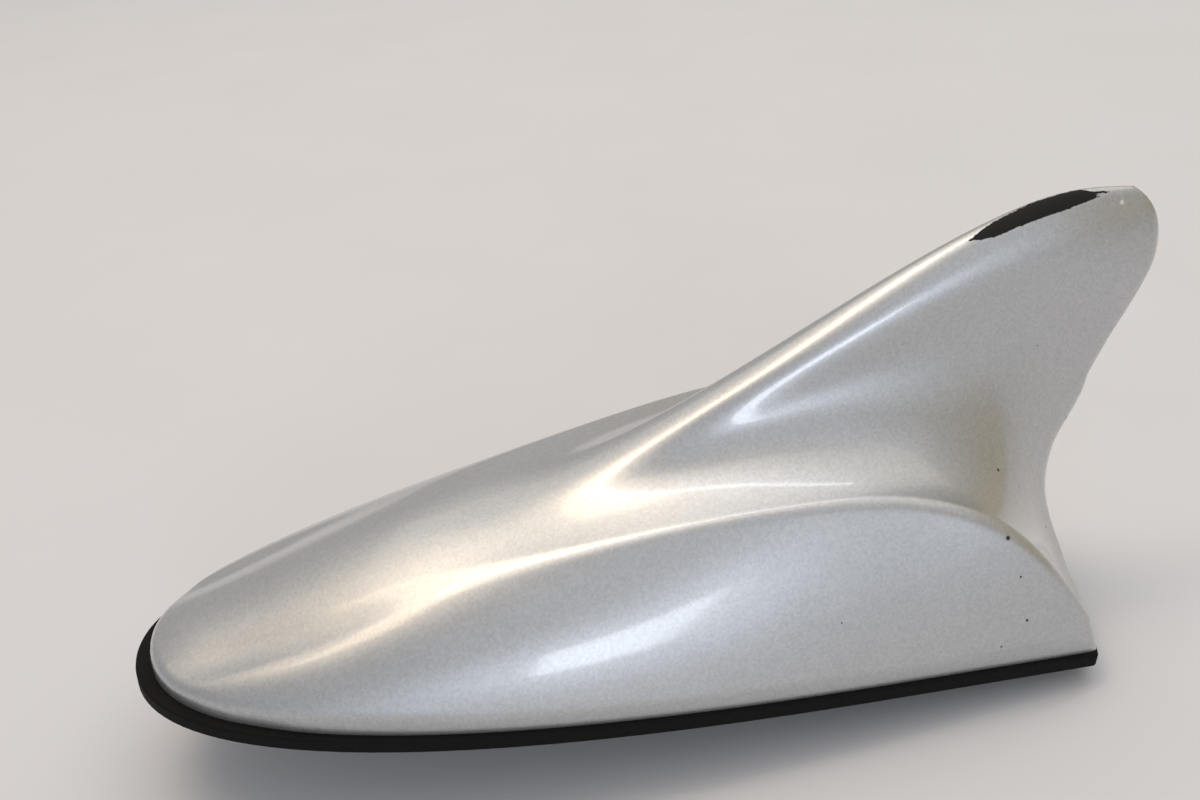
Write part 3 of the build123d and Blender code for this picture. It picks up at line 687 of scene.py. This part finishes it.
# Pale table under the part, tilted as the part leans on its bush and on the rear edge of its socket
table_width = 12
bush_foot = Vector((8, 0, -9)) * MM
socket_foot = Vector((37, 0, -6)) * MM
table_gap = 0.2 * MM
slope = (socket_foot - bush_foot).normalized()
bpy.ops.object.select_all(action="DESELECT")
bpy.ops.mesh.primitive_plane_add(size=table_width)
table = bpy.context.object
table.name = "table"
tilt = Matrix((slope, (0, 1, 0), slope.cross(Vector((0, 1, 0))))).transposed()
table.matrix_world = Matrix.Translation(bush_foot - tilt.col[2] * table_gap) @ tilt.to_4x4()
table_paint, tree = new_material("pale_table")
table_place = add(tree, "TexCoord").outputs["Object"]
mottle = add(tree, "TexNoise", {"Vector": table_place, "Scale": per_mm(60), "Detail": 4})
table_tone = add(tree, "Mix", {0: mottle.outputs["Fac"], 6: linear("#D6D7DA"), 7: linear("#DDDEE2")},
                 data_type="RGBA")
shader = add(tree, "BsdfPrincipled", {"Base Color": table_tone.outputs[2], "Roughness": 0.6})
add(tree, "OutputMaterial", {"Surface": shader.outputs[0]})
table.data.materials.append(table_paint)

# Camera
camera = bpy.data.objects.new("camera", bpy.data.cameras.new("camera"))
camera_turn = Matrix((camera_right, camera_up, camera_back)).transposed()
camera.matrix_world = Matrix.Translation([v * MM for v in camera_place]) @ camera_turn.to_4x4()
camera.data.lens = 36
camera.data.sensor_width = 36
camera.data.clip_start = 0.005
bpy.context.scene.collection.objects.link(camera)
bpy.context.scene.camera = camera


def lamp(name, place, aim, size, power, colour):
    """A soft rectangular lamp at a place, turned to an aim."""
    light = bpy.data.lights.new(name, "AREA")
    light.shape = "RECTANGLE"
    light.size, light.size_y = size
    light.energy = power
    light.color = linear(colour)[:3]
    holder = bpy.data.objects.new(name, light)
    holder.location = place
    holder.rotation_euler = (Vector(aim) - Vector(place)).to_track_quat("-Z", "Y").to_euler()
    bpy.context.scene.collection.objects.link(holder)


lamp("ceiling", (0.2, 0.5, 1.25), (0, 0, 0), (2.1, 1.6), 6.8, "#FFF6EA")
lamp("ceiling_warm", (-0.5, 0.33, 1.25), (-0.3, 0, 0), (0.8, 0.35), 3.5, "#FFE2BA")
lamp("ceiling_tube", (-0.05, 0.32, 1.2), (0, 0, 0), (1.1, 0.05), 1.1, "#EEF4FF")
lamp("front_panel", (0.15, -0.62, 1.05), (0, 0, 0), (1.5, 0.5), 0.6, "#E6EEFF")
lamp("window_front", (-0.04, -1.35, 0.48), (0, 0, 0.03), (0.3, 0.3), 1.75, "#EEF4FF")

# Studio light from all round: grey, with khaki low on the right and pale blue on the camera's side
world = bpy.data.worlds.new("studio")
bpy.context.scene.world = world
world.use_nodes = True
tree = world.node_tree
tree.nodes.clear()
outlook = add(tree, "SeparateXYZ", {0: add(tree, "TexCoord").outputs["Generated"]})
height = add(tree, "MapRange", {"Value": outlook.outputs["Z"], "From Min": 0.0, "From Max": 0.9})
front = add(tree, "MapRange", {"Value": outlook.outputs["Y"], "From Min": -0.66, "From Max": -0.94})
rightward = add(tree, "MapRange", {"Value": outlook.outputs["X"], "From Min": 0.0, "From Max": 0.5})
walls = add(tree, "Mix", {0: rightward.outputs[0], 6: linear("#ABABAC"), 7: linear("#AE9A68")},
            data_type="RGBA")
room = add(tree, "Mix", {0: height.outputs[0], 6: walls.outputs[2], 7: linear("#BCBBBB")},
           data_type="RGBA")
surround = add(tree, "Mix", {0: front.outputs[0], 6: room.outputs[2], 7: linear("#E2E8F2")},
               data_type="RGBA")
glow = add(tree, "Background", {"Color": surround.outputs[2], "Strength": 1.0})
add(tree, "OutputWorld", {"Surface": glow.outputs[0]})
bpy.context.scene.view_settings.view_transform = "Standard"
